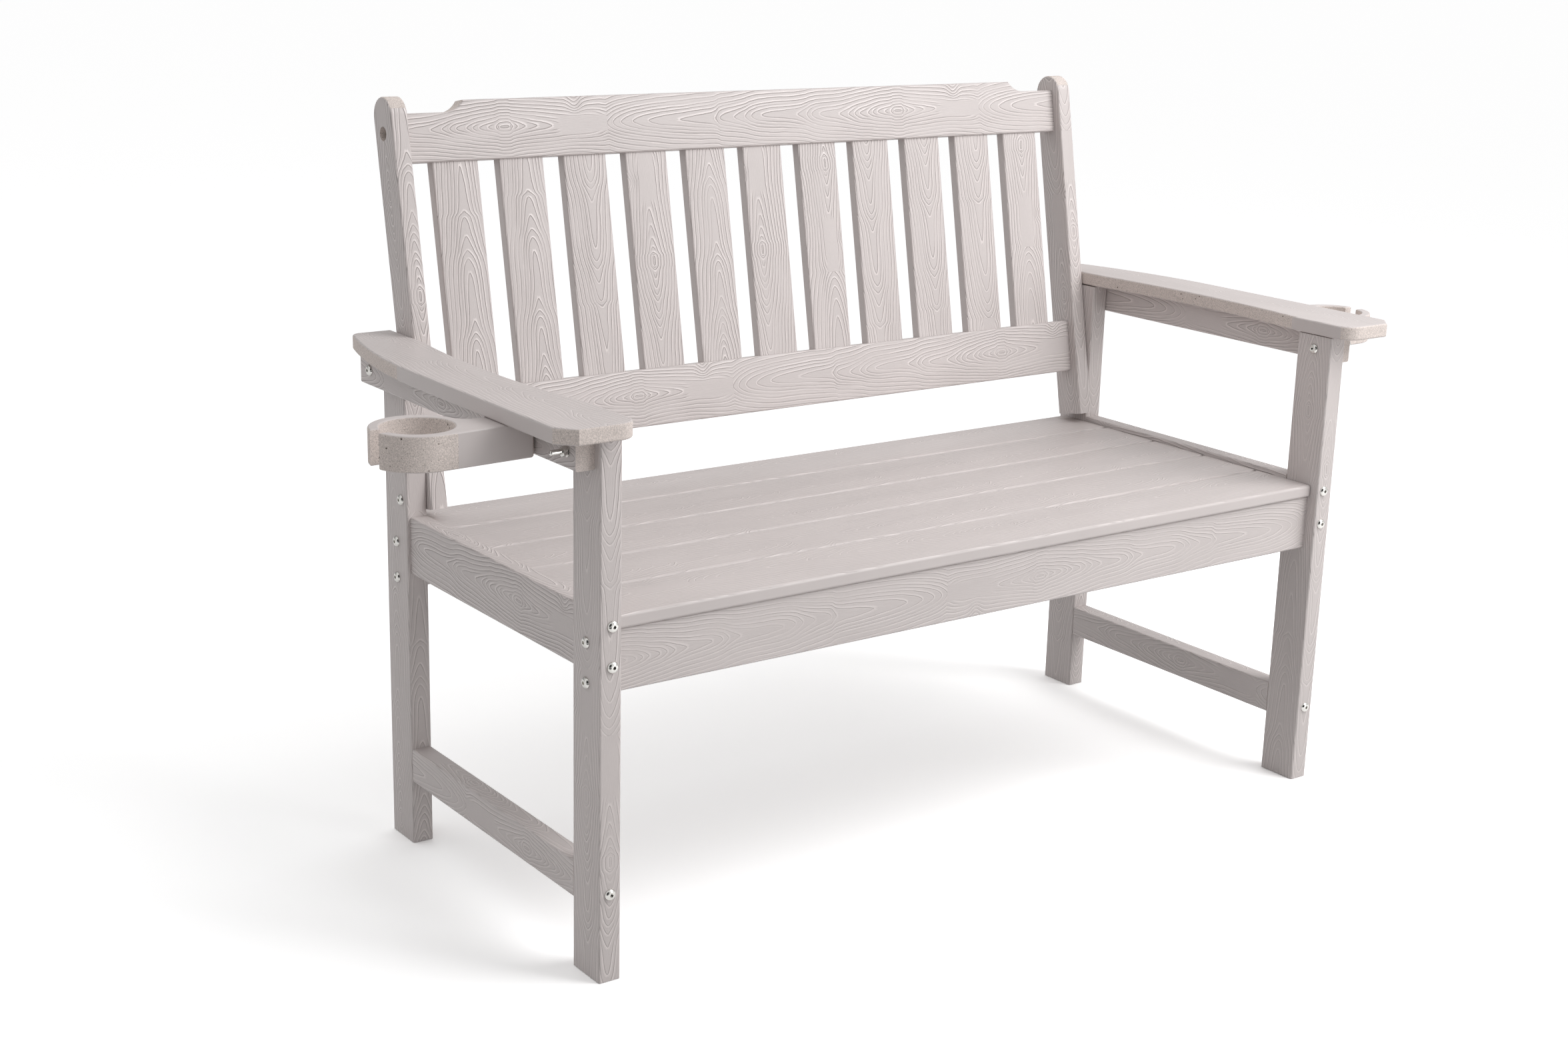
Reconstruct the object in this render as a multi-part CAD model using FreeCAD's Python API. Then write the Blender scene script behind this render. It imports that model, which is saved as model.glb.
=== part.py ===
import FreeCAD, Part
import math
import os

from FreeCAD import Vector

# Two-seat garden bench of embossed plastic lumber with a slatted, leaning back and two cup
# holders that swivel under the arms. All sizes are in millimetres. X runs along the bench to
# the right as seen from the front, Y runs from the front to the back, and Z is up from the floor.

# Legs and the outline of the frame
bench_width = 1128.0          # over the outer faces of the legs
frame_depth = 502.0           # front face of the front legs to rear face of the rear legs
leg_thick = 27.0
leg_wide = 56.0
leg_height = 613.0            # to the underside of the arms
leg_top_gap = 1.2             # the arms lie on their cleats, just clear of the legs
stock_thick = 22.5            # aprons, rails, uprights, cleats and bearers
edge_round = 2.5              # extruded round on the long edges of every board

# Seat
seat_height = 413.0
seat_board_thick = 16.0
seat_board_width = 95.0
seat_board_count = 5
seat_seam = 2.5
seat_set_back = 12.5          # front edge of the seat behind the front faces of the legs
seat_set_in = 9.5             # rear edge of the last board, ripped to fit, ahead of the legs' rear faces
seat_end_gap = 1.0            # board end to leg
seat_edge_round = 3.5

# Aprons, bearers and stretchers
apron_height = 71.0
side_apron_rise = 6.5         # top of the side aprons above the seat
bearer_height = 45.0
stretcher_thick = 25.5
stretcher_height = 43.0
stretcher_bottom = 81.0

# Arms and the cleats under them
arm_thick = 18.0
arm_front_overhang = 30.5     # ahead of the front legs
arm_rear_overhang = 31.0      # behind the rear legs
arm_outer_overhang = 62.0     # outboard of the legs
arm_inner_overhang = 3.0      # inboard of the front legs
arm_upright_gap = 0.4
arm_corner_cut = 19.5
arm_inner_round = 23.0
arm_sweep_ahead = 210.0       # outer edge starts to curve in, ahead of the legs' rear faces
arm_sweep_in = 37.6
arm_rear_round = 12.0
arm_waist_margin = 58.0       # ends of the hollow inside the legs' front and rear faces
arm_waist_depth = 14.0
arm_edge_round = 2.5
cleat_height = 38.0
cleat_front = 11.0            # front end behind the leg front
cleat_rear_overhang = 12.0    # behind the rear legs

# Back
back_angle = 10.7             # degrees of lean
back_foot_ahead = 72.0        # foot of the uprights' front line, ahead of the legs' rear faces
back_foot_drop = 9.0          # the same foot below the top of the seat
upright_wide = 46.5
upright_start = 25.0          # along the lean from the foot point
upright_end = 515.5
rail_set_back = 13.5          # rail face behind the upright face
bottom_rail_start = 89.0
bottom_rail_height = 73.0
top_rail_start = 436.0
top_rail_low = 58.5           # height of the rail at its ends
top_rail_rise = 14.0          # extra height in the raised middle
top_rail_low_end = 54.0       # length of each low end
top_rail_cove = 27.0          # length of the hollow curve between them
slat_count = 11
slat_width = 62.0
slat_thick = 14.5
slat_end_gap = 33.5           # outer slats to the uprights
slat_tenon = 12.0
slat_play = 0.1

# Cup holders
holder_thick = 38.5
holder_air = 0.3              # under the arm
holder_pivot_out = 18.5       # pivot outboard of the cleat
holder_pivot_back = 112.5     # pivot behind the leg front
holder_arm_width = 48.0
holder_end_gap = 4.0          # inner end to cleat
holder_end_cut = 3.0
holder_reach = 96.0           # pivot to the middle of the ring, along the arm
ring_outer_radius = 50.5
cup_bore_radius = 39.0
handle_slit = 18.0
ring_fillet = 20.0
holder_edge_round = 2.0
holder_swing_back = 58.0      # degrees that the rounded end lets it swing to the rear
holder_swing_air = 0.8
holder_rest_left = -3.5       # degrees to the rear of straight out, as the left one stands
holder_rest_right = 1.0       # as the right one stands

# Bolts, inserts and screws
bolt_radius = 3.0
bolt_hole_radius = 3.3
bolt_head_radius = 6.8
bolt_head_height = 3.6
bolt_socket = 4.0             # across the flats
bolt_socket_depth = 2.2
bolt_inset = 13.0             # bolt centre from the edge of an apron
insert_radius = 4.6
insert_length = 25.0
short_insert_length = 17.0
arm_insert_length = 13.0
insert_play = 0.05
bolt_end_gap = 2.0            # bolt tip short of the end of its insert
recess_radius = 8.5
recess_depth = 8.0
top_rail_bolt_up = 36.5       # bolt above the underside of the top rail
upright_bolt_low = 40.0       # along the lean from the foot point
arm_bolt_tail = 20.5          # bolt end beyond the cleat
nut_flats = 10.0
nut_height = 5.2
washer_radius = 6.2
washer_thick = 1.4
swivel_washer_radius = 9.0
screw_radius = 2.0
screw_head_radius = 4.0
screw_head_height = 3.0
screw_grip = 12.0             # length of screw in the far piece
screw_play = 0.05
counterbore_play = 1.0
seat_screw_bore = 25.0        # depth of the counterbore in a bearer
arm_screw_bore = 18.0
arm_screw_count = 3
bracket_leg = 30.0
bracket_screw_share = 0.6     # screw from the bend, as a share of the leg
bracket_wide = 26.0
bracket_thick = 2.0
bracket_screw_length = 14.0

lean = math.radians(back_angle)
back_foot_y = frame_depth - back_foot_ahead
back_foot_z = seat_height - back_foot_drop
upright_top_radius = upright_wide / 2
upright_shoulder = upright_end - upright_top_radius
back_reach = (back_foot_y + upright_shoulder * math.sin(lean)
              + upright_top_radius * (1 + math.cos(lean)))
frame_front = (arm_front_overhang - back_reach) / 2
leg_outer = bench_width / 2
leg_inner = leg_outer - leg_thick
front_leg_y = frame_front + leg_wide / 2
rear_leg_y = frame_front + frame_depth - leg_wide / 2
frame_rear = frame_front + frame_depth
seat_under = seat_height - seat_board_thick
apron_bottom = seat_under - apron_height
side_apron_bottom = seat_height + side_apron_rise - apron_height
side_apron_x = leg_inner + stock_thick / 2
stretcher_x = leg_outer - leg_thick / 2
stretcher_z = stretcher_bottom + stretcher_height / 2
cleat_outer = leg_outer + stock_thick
cleat_bottom = leg_height - cleat_height
cleat_z = leg_height - cleat_height / 2
upright_inner = leg_inner - stock_thick
rail_middle = rail_set_back + stock_thick / 2
pivot_x = cleat_outer + holder_pivot_out
pivot_y = frame_front + holder_pivot_back
holder_bottom = leg_height - holder_air - holder_thick


def board(start, end, grain):
    """A board from corner to corner with its four long edges rounded along the grain axis."""
    size = end - start
    box = Part.makeBox(size.x, size.y, size.z, start)
    return rounded(box, grain, edge_round)


def rounded(shape, grain, radius):
    """Rounds every straight edge that runs along the grain axis."""
    long_edges = [e for e in shape.Edges if abs(e.tangentAt(e.FirstParameter).dot(grain)) > 0.999]
    return shape.makeFillet(radius, long_edges)


def rod(radius, length, base, direction):
    return Part.makeCylinder(radius, length, base, direction)


def drilled(shape, holes):
    """Cuts each hole that reaches the piece."""
    box = shape.BoundBox
    for hole in holes:
        if box.intersect(hole.BoundBox):
            shape = shape.cut(hole)
    return shape


def mirrored(shape):
    return shape.mirror(Vector(0, 0, 0), Vector(1, 0, 0))


def group(solids):
    return Part.makeCompound(solids)


X, Y, Z = Vector(1, 0, 0), Vector(0, 1, 0), Vector(0, 0, 1)


def turned(shape, place, direction):
    """Moves a fastener, drawn with its shank down -Z, so that the shank points along direction."""
    shape.Placement = FreeCAD.Placement(place, FreeCAD.Rotation(Vector(0, 0, -1), direction))
    return shape


def bolt(length, place, direction):
    """Button-head bolt with a hexagon socket, the underside of its head at place."""
    crown_radius = bolt_head_radius * 0.45
    lip = bolt_head_height * 0.15
    lip_edge = Vector(bolt_head_radius, 0, lip)
    crown_edge = Vector(crown_radius, 0, bolt_head_height)
    bulge = Vector(bolt_head_radius * 0.82, 0, bolt_head_height * 0.72)
    tip = bolt_radius * 0.6
    tip_sag = tip * (1 - math.sqrt(0.5))
    outline = Part.Wire([
        Part.makeLine(Vector(0, 0, -length), Vector(bolt_radius - tip, 0, -length)),
        Part.Arc(Vector(bolt_radius - tip, 0, -length), Vector(bolt_radius - tip_sag, 0, tip_sag - length),
                 Vector(bolt_radius, 0, tip - length)).toShape(),
        Part.makeLine(Vector(bolt_radius, 0, tip - length), Vector(bolt_radius, 0, 0)),
        Part.makeLine(Vector(bolt_radius, 0, 0), Vector(bolt_head_radius, 0, 0)),
        Part.makeLine(Vector(bolt_head_radius, 0, 0), lip_edge),
        Part.Arc(lip_edge, bulge, crown_edge).toShape(),
        Part.makeLine(crown_edge, Vector(0, 0, bolt_head_height)),
        Part.makeLine(Vector(0, 0, bolt_head_height), Vector(0, 0, -length)),
    ])
    turned_body = Part.Face(outline).revolve(Vector(0, 0, 0), Z, 360)
    socket = hexagon(bolt_socket, bolt_head_height - bolt_socket_depth, bolt_head_height)
    return turned(turned_body.cut(socket), place, direction)


def hexagon(flats, low, high):
    """Six-sided prism, measured across the flats, between two heights."""
    corner = flats / math.sqrt(3)
    corners = [Vector(corner * math.cos(k * math.pi / 3), corner * math.sin(k * math.pi / 3), low)
               for k in range(7)]
    return Part.Face(Part.makePolygon(corners)).extrude(Vector(0, 0, high - low))


def insert(length, mouth, direction):
    """Threaded sleeve set in a board, its mouth flush with the face and its bore along direction."""
    sleeve = rod(insert_radius, length, mouth, direction)
    return sleeve.cut(rod(bolt_radius + insert_play, length, mouth, direction))


def insert_hole(length, mouth, direction):
    return rod(insert_radius + insert_play, length, mouth, direction)


def screw(length, place, direction):
    """Pan-head screw, the underside of its head at place."""
    head = rod(screw_head_radius, screw_head_height, Vector(0, 0, 0), Z)
    head = head.makeChamfer(screw_head_height * 0.3, [head.Edges[0]])
    return turned(head.fuse(rod(screw_radius, length, Vector(0, 0, 0), -Z)), place, direction)


def screw_hole(length, place, direction):
    return rod(screw_radius + screw_play, length, place, direction)


def apron_bolt_places():
    """Head seats of the bolts through the legs' outer faces into the front and rear aprons."""
    heights = (apron_bottom + bolt_inset, seat_under - bolt_inset)
    return [(Vector(side * leg_outer, y, z), Vector(-side, 0, 0))
            for side in (-1, 1) for y in (front_leg_y, rear_leg_y) for z in heights]


def rail_end_places():
    """Head seats of the bolts through the legs' width into the side aprons and stretchers."""
    apron_top = side_apron_bottom + apron_height
    seats = [(side_apron_x, side_apron_bottom + bolt_inset), (side_apron_x, apron_top - bolt_inset),
             (stretcher_x, stretcher_z)]
    ends = ((frame_front, Y), (frame_rear, -Y))
    return [(Vector(side * x, y, z), way) for side in (-1, 1) for x, z in seats for y, way in ends]


def on_back(x, depth, along):
    """A point of the leaning back: depth behind the uprights' front faces, along from the foot."""
    y = frame_front + back_foot_y + along * math.sin(lean) + depth * math.cos(lean)
    z = back_foot_z + along * math.cos(lean) - depth * math.sin(lean)
    return Vector(x, y, z)


def leaned(shape):
    """Tips a piece drawn upright, with its face in the XZ plane, onto the leaning back."""
    placed = shape.copy()
    placed.rotate(Vector(0, 0, 0), X, -back_angle)
    placed.translate(on_back(0, 0, 0))
    return placed


def upright_bolt_places():
    """Seats of the two bolts that hold each upright: through the leg, and through the cleat."""
    middle = upright_wide / 2
    cleat_along = (cleat_z - back_foot_z + middle * math.sin(lean)) / math.cos(lean)
    low = on_back(0, middle, upright_bolt_low)
    high = on_back(0, middle, cleat_along)
    places = []
    for side in (-1, 1):
        way = Vector(-side, 0, 0)
        places.append((Vector(side * leg_outer, low.y, low.z), way, leg_thick))
        places.append((Vector(side * cleat_outer, high.y, high.z), way, stock_thick + leg_thick))
    return places


def front_arm_bolt_places():
    """Head seats of the bolts from inside the front legs out through the cleats."""
    return [(Vector(side * leg_inner, front_leg_y, cleat_z), Vector(side, 0, 0)) for side in (-1, 1)]


def rail_bolt_places():
    """Mouths of the recesses in the uprights' outer faces, one bolt to each rail end."""
    middle_low = bottom_rail_start + bottom_rail_height / 2
    seats = (middle_low, top_rail_start + top_rail_bolt_up)
    return [(on_back(side * leg_inner, rail_middle, along), Vector(-side, 0, 0))
            for side in (-1, 1) for along in seats]


def bolts_and_holes():
    """Every bolt of the frame by node, with the holes and inserts that it needs."""
    nodes = {"apron_bolts": [], "rail_end_bolts": [], "upright_bolts": [], "arm_rear_bolts": [],
             "arm_front_bolts": [], "arm_nuts": [], "arm_washers": [], "back_rail_bolts": [],
             "apron_inserts": [], "rail_end_inserts": [], "upright_inserts": [],
             "back_rail_inserts": []}
    holes = []

    def fasten(bolts, inserts, seat, way, through, sleeve):
        mouth = seat + way * through
        nodes[bolts].append(bolt(through + sleeve - bolt_end_gap, seat, way))
        nodes[inserts].append(insert(sleeve, mouth, way))
        holes.append(rod(bolt_hole_radius, through, seat, way))
        holes.append(insert_hole(sleeve, mouth, way))

    for seat, way in apron_bolt_places():
        fasten("apron_bolts", "apron_inserts", seat, way, leg_thick, insert_length)
    for seat, way in rail_end_places():
        fasten("rail_end_bolts", "rail_end_inserts", seat, way, leg_wide, insert_length)
    for seat, way, through in upright_bolt_places():
        bolts = "upright_bolts" if through == leg_thick else "arm_rear_bolts"
        fasten(bolts, "upright_inserts", seat, way, through, short_insert_length)
    for mouth, way in rail_bolt_places():
        holes.append(rod(recess_radius, recess_depth, mouth, way))
        through = stock_thick - recess_depth
        fasten("back_rail_bolts", "back_rail_inserts", mouth + way * recess_depth, way, through,
               insert_length)
    for seat, way in front_arm_bolt_places():
        through = leg_thick + stock_thick
        nodes["arm_front_bolts"].append(bolt(through + arm_bolt_tail, seat, way))
        holes.append(rod(bolt_hole_radius, through, seat, way))
        face = seat + way * through
        washer = rod(washer_radius, washer_thick, face, way)
        nodes["arm_washers"].append(washer.cut(rod(bolt_hole_radius, washer_thick, face, way)))
        nodes["arm_nuts"].append(nut(face + way * washer_thick, way))
    return nodes, holes


def nut(face, way):
    """Hexagon nut that stands on face, with its outer corners turned off."""
    blank = hexagon(nut_flats, -nut_height, 0)
    corner = nut_flats / math.sqrt(3)
    bevel = Part.makeCone(corner + nut_height * 0.6, corner - nut_height * 0.1, nut_height,
                          Vector(0, 0, 0), -Z)
    blank = blank.common(bevel)
    return turned(blank.cut(rod(bolt_radius + insert_play, nut_height, Vector(0, 0, 0), -Z)), face, way)


def legs(holes):
    corners = {"front": frame_front, "rear": frame_rear - leg_wide}
    pieces = {}
    for side, x in (("left", -leg_outer), ("right", leg_inner)):
        for end, y in corners.items():
            top = Vector(x + leg_thick, y + leg_wide, leg_height - leg_top_gap)
            post = board(Vector(x, y, 0), top, Z)
            pieces["leg_%s_%s" % (end, side)] = drilled(post, holes)
    return pieces


def long_aprons(holes):
    """Front and rear aprons between the legs, in the middle of the legs' width."""
    pieces = {}
    for name, y in (("front_apron", front_leg_y), ("rear_apron", rear_leg_y)):
        start = Vector(-leg_inner, y - stock_thick / 2, apron_bottom)
        end = Vector(leg_inner, y + stock_thick / 2, seat_under)
        pieces[name] = drilled(board(start, end, X), holes)
    return pieces


def side_rails(holes):
    """Side aprons and low stretchers between the front and rear legs."""
    front = frame_front + leg_wide
    rear = frame_rear - leg_wide
    pieces = {}
    for side, sign in (("left", -1), ("right", 1)):
        for name, x, thick, low, height in (
                ("side_apron", side_apron_x, stock_thick, side_apron_bottom, apron_height),
                ("stretcher", stretcher_x, stretcher_thick, stretcher_bottom, stretcher_height)):
            start = Vector(sign * x - thick / 2, front, low)
            end = Vector(sign * x + thick / 2, rear, low + height)
            pieces["%s_%s" % (name, side)] = drilled(board(start, end, Y), holes)
    return pieces


def seat_board_spans():
    """Front and rear Y of each seat board."""
    spans = []
    front = frame_front + seat_set_back
    for k in range(seat_board_count):
        last = k == seat_board_count - 1
        rear = frame_rear - seat_set_in if last else front + seat_board_width
        spans.append((front, rear))
        front = rear + seat_seam
    return spans


def bearer_lines():
    """X of the left side of each bearer under the seat."""
    return {"left": -leg_inner, "middle": -stock_thick / 2, "right": leg_inner - stock_thick}


def bearer_ends():
    """Y of the bearers' front and rear ends, against the long aprons."""
    return front_leg_y + stock_thick / 2, rear_leg_y - stock_thick / 2


def seat_screw_places():
    """Heads of the screws up through the bearers, one to each board, in the middle of what it covers."""
    low = seat_under - bearer_height + seat_screw_bore
    bearer_front, bearer_rear = bearer_ends()
    middles = [(max(front, bearer_front) + min(rear, bearer_rear)) / 2 for front, rear in seat_board_spans()]
    return [Vector(x + stock_thick / 2, y, low) for x in bearer_lines().values() for y in middles]


def seat():
    """Boards, the bearers below them, and the screws and brackets that hold these."""
    pieces = {}
    places = seat_screw_places()
    shank = bearer_height - seat_screw_bore + screw_grip
    drills = [screw_hole(shank, p, Z) for p in places]
    counterbores = [rod(screw_head_radius + counterbore_play, seat_screw_bore, p - Z * seat_screw_bore, Z)
                    for p in places]
    half = leg_inner - seat_end_gap
    for k, (front, rear) in enumerate(seat_board_spans()):
        plank = Part.makeBox(2 * half, rear - front, seat_board_thick, Vector(-half, front, seat_under))
        pieces["seat_board_%d" % (k + 1)] = drilled(rounded(plank, X, seat_edge_round), drills)
    front, rear = bearer_ends()
    side_screws = bearer_screw_places()
    side_drills = [screw_hole(stock_thick + screw_grip, p, way) for p, way in side_screws]
    brackets, bracket_screws, bracket_drills = bearer_brackets(front, rear)
    for name, x in bearer_lines().items():
        start = Vector(x, front, seat_under - bearer_height)
        end = Vector(x + stock_thick, rear, seat_under)
        pieces["seat_bearer_" + name] = drilled(board(start, end, Y),
                                                drills + counterbores + side_drills + bracket_drills)
    pieces["seat_screws"] = group([screw(shank, p, Z) for p in places])
    pieces["bearer_screws"] = group([screw(stock_thick + screw_grip, p, w) for p, w in side_screws])
    pieces["bearer_brackets"] = group(brackets)
    pieces["bracket_screws"] = group(bracket_screws)
    return pieces, side_drills + bracket_drills


def bearer_screw_places():
    """Heads of the two screws through each outer bearer into its side apron, below board seams."""
    spans = seat_board_spans()
    seams = (spans[1][0] - seat_seam / 2, spans[-1][0] - seat_seam / 2)
    z = seat_under - bearer_height / 2
    return [(Vector(side * upright_inner, y, z), Vector(side, 0, 0)) for side in (-1, 1) for y in seams]


def bearer_brackets(front, rear):
    """Steel angle at each end of the middle bearer, with a screw to the bearer and to the apron."""
    angles, screws, drills = [], [], []
    x = stock_thick / 2
    low = seat_under - (bearer_height + bracket_wide) / 2
    middle = low + bracket_wide / 2
    length = bracket_screw_length
    reach = bracket_leg * bracket_screw_share
    for y, way in ((front, 1), (rear, -1)):
        near = min(y, y + way * bracket_thick)
        on_apron = Part.makeBox(bracket_leg, bracket_thick, bracket_wide, Vector(x, near, low))
        long_side = min(y, y + way * bracket_leg)
        on_bearer = Part.makeBox(bracket_thick, bracket_leg, bracket_wide, Vector(x, long_side, low))
        seats = [(Vector(x + reach, y + way * bracket_thick, middle), Vector(0, -way, 0)),
                 (Vector(x + bracket_thick, y + way * reach, middle), -X)]
        angle = on_apron.fuse(on_bearer).removeSplitter()
        holes = [screw_hole(length, p, w) for p, w in seats]
        angles.append(drilled(angle, holes))
        screws += [screw(length, p, w) for p, w in seats]
        drills += holes
    return angles, screws, drills


def arm_outline():
    """Right arm seen from above: cut front corner, waist on the inside, sweep at the rear."""
    front = frame_front - arm_front_overhang
    rear = frame_rear + arm_rear_overhang
    outer = leg_outer + arm_outer_overhang
    inner_front = leg_inner - arm_inner_overhang
    inner_rear = leg_inner + arm_upright_gap
    sweep = frame_rear - arm_sweep_ahead
    waist_start = frame_front + arm_waist_margin
    waist_end = frame_rear - arm_waist_margin
    run = rear - sweep
    radius = (run ** 2 + arm_sweep_in ** 2) / (2 * arm_sweep_in)
    half_turn = math.asin(run / radius) / 2
    waist_x = (inner_front + inner_rear) / 2 + arm_waist_depth

    def p(x, y):
        return Vector(x, y, leg_height)

    sweep_mid = p(outer - radius * (1 - math.cos(half_turn)), sweep + radius * math.sin(half_turn))
    waist_mid = p(waist_x, (waist_start + waist_end) / 2)
    return Part.Wire([
        Part.makeLine(p(outer - arm_corner_cut, front), p(outer, front + arm_corner_cut)),
        Part.makeLine(p(outer, front + arm_corner_cut), p(outer, sweep)),
        Part.Arc(p(outer, sweep), sweep_mid, p(outer - arm_sweep_in, rear)).toShape(),
        Part.makeLine(p(outer - arm_sweep_in, rear), p(inner_rear, rear)),
        Part.makeLine(p(inner_rear, rear), p(inner_rear, waist_end)),
        Part.Arc(p(inner_rear, waist_end), waist_mid, p(inner_front, waist_start)).toShape(),
        Part.makeLine(p(inner_front, waist_start), p(inner_front, front)),
        Part.makeLine(p(inner_front, front), p(outer - arm_corner_cut, front)),
    ])


def arm_slab():
    """Board of the right arm, its inner front and outer rear corners rounded, then its rims."""
    slab = Part.Face(arm_outline()).extrude(Vector(0, 0, arm_thick))
    inner_front = (leg_inner - arm_inner_overhang, frame_front - arm_front_overhang)
    outer_rear = (leg_outer + arm_outer_overhang - arm_sweep_in, frame_rear + arm_rear_overhang)
    for (x, y), radius in ((inner_front, arm_inner_round), (outer_rear, arm_rear_round)):
        corner = [e for e in slab.Edges if abs(e.BoundBox.Center.x - x) < 0.1
                  and abs(e.BoundBox.Center.y - y) < 0.1]
        slab = slab.makeFillet(radius, corner)
    rims = [e for e in slab.Edges if e.BoundBox.ZLength < 0.01]
    return slab.makeFillet(arm_edge_round, rims)


def arm_screw_places():
    """Heads of the screws that come up through the right cleat into the arm."""
    front = frame_front + cleat_front
    length = frame_rear + cleat_rear_overhang - front
    x = leg_outer + stock_thick / 2
    return [Vector(x, front + length * (k + 0.75) / (arm_screw_count + 0.5), cleat_bottom + arm_screw_bore)
            for k in range(arm_screw_count)]


def arms(holes):
    """Arms, their cleats, and the screws between them."""
    places = arm_screw_places()
    shank = cleat_height - arm_screw_bore + screw_grip
    drills = [screw_hole(shank, p, Z) for p in places]
    counterbores = [rod(screw_head_radius + counterbore_play, arm_screw_bore, p - Z * arm_screw_bore, Z)
                    for p in places]
    socket = insert_hole(arm_insert_length, Vector(pivot_x, pivot_y, leg_height), Z)
    arm = drilled(arm_slab(), drills + [socket])
    start = Vector(leg_outer, frame_front + cleat_front, cleat_bottom)
    end = Vector(cleat_outer, frame_rear + cleat_rear_overhang, leg_height)
    cleat = drilled(board(start, end, Y), drills + counterbores + holes)
    screws = [screw(shank, p, Z) for p in places]
    return {"arm_right": arm, "arm_left": mirrored(arm), "arm_cleat_right": cleat,
            "arm_cleat_left": mirrored(cleat),
            "arm_screws": group(screws + [mirrored(s) for s in screws])}


def uprights(holes):
    """Posts of the back with half-round tops, bolted inside the rear legs."""
    radius = upright_top_radius
    shoulder = upright_shoulder

    def p(y, z):
        return Vector(upright_inner, y, z)

    outline = Part.Wire([
        Part.makeLine(p(0, upright_start), p(0, shoulder)),
        Part.Arc(p(0, shoulder), p(radius, upright_end), p(upright_wide, shoulder)).toShape(),
        Part.makeLine(p(upright_wide, shoulder), p(upright_wide, upright_start)),
        Part.makeLine(p(upright_wide, upright_start), p(0, upright_start)),
    ])
    post = Part.Face(outline).extrude(Vector(stock_thick, 0, 0))
    sides = [e for e in post.Edges if e.BoundBox.XLength < 0.01 and e.BoundBox.ZLength > radius * 0.9]
    post = leaned(post.makeFillet(edge_round, sides))
    return {"back_upright_right": drilled(post, holes),
            "back_upright_left": drilled(mirrored(post), holes)}


def slat_lefts():
    """Left edge of each slat, spread evenly between the uprights."""
    first = slat_end_gap - upright_inner
    last = upright_inner - slat_end_gap - slat_width
    return [first + (last - first) * k / (slat_count - 1) for k in range(slat_count)]


def mortises(low):
    """Pockets for the slats' ends, one tenon deep, from the height low upwards."""
    depth = rail_middle - slat_thick / 2 - slat_play
    return [Part.makeBox(slat_width + 2 * slat_play, slat_thick + 2 * slat_play, slat_tenon,
                         Vector(x - slat_play, depth, low)) for x in slat_lefts()]


def rails(holes):
    """Rails between the uprights: the top one is raised in the middle, with a cove at each end."""
    half = upright_inner
    bottom_top = bottom_rail_start + bottom_rail_height
    bottom = board(Vector(-half, rail_set_back, bottom_rail_start),
                   Vector(half, rail_set_back + stock_thick, bottom_top), X)
    for pocket in mortises(bottom_top - slat_tenon):
        bottom = bottom.cut(pocket)
    top = Part.Face(top_rail_outline(half)).extrude(Vector(0, stock_thick, 0))
    rims = [e for e in top.Edges if e.BoundBox.YLength < 0.01 and e.BoundBox.XLength > 1]
    top = top.makeFillet(edge_round, rims)
    for pocket in mortises(top_rail_start):
        top = top.cut(pocket)
    return {"bottom_rail": drilled(leaned(bottom), holes), "top_rail": drilled(leaned(top), holes)}


def top_rail_outline(half):
    """Face of the top rail. Each cove is an arc that runs out level onto the low end."""
    low = top_rail_start + top_rail_low
    high = low + top_rail_rise
    cove_start = half - top_rail_low_end
    cove_end = cove_start - top_rail_cove
    radius = (top_rail_cove ** 2 + top_rail_rise ** 2) / (2 * top_rail_rise)
    half_turn = math.asin(top_rail_cove / radius) / 2
    mid_x = cove_start - radius * math.sin(half_turn)
    mid_z = low + radius * (1 - math.cos(half_turn))

    def p(x, z):
        return Vector(x, rail_set_back, z)

    return Part.Wire([
        Part.makeLine(p(-half, top_rail_start), p(half, top_rail_start)),
        Part.makeLine(p(half, top_rail_start), p(half, low)),
        Part.makeLine(p(half, low), p(cove_start, low)),
        Part.Arc(p(cove_start, low), p(mid_x, mid_z), p(cove_end, high)).toShape(),
        Part.makeLine(p(cove_end, high), p(-cove_end, high)),
        Part.Arc(p(-cove_end, high), p(-mid_x, mid_z), p(-cove_start, low)).toShape(),
        Part.makeLine(p(-cove_start, low), p(-half, low)),
        Part.makeLine(p(-half, low), p(-half, top_rail_start)),
    ])


def slats():
    """Back slats, each seated in a pocket of both rails."""
    low = bottom_rail_start + bottom_rail_height - slat_tenon
    high = top_rail_start + slat_tenon - 10 * slat_play
    depth = rail_middle - slat_thick / 2
    pieces = {}
    for k, x in enumerate(slat_lefts()):
        slat = board(Vector(x, depth, low), Vector(x + slat_width, depth + slat_thick, high), Z)
        pieces["back_slat_%d" % (k + 1)] = leaned(slat)
    return pieces


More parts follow.
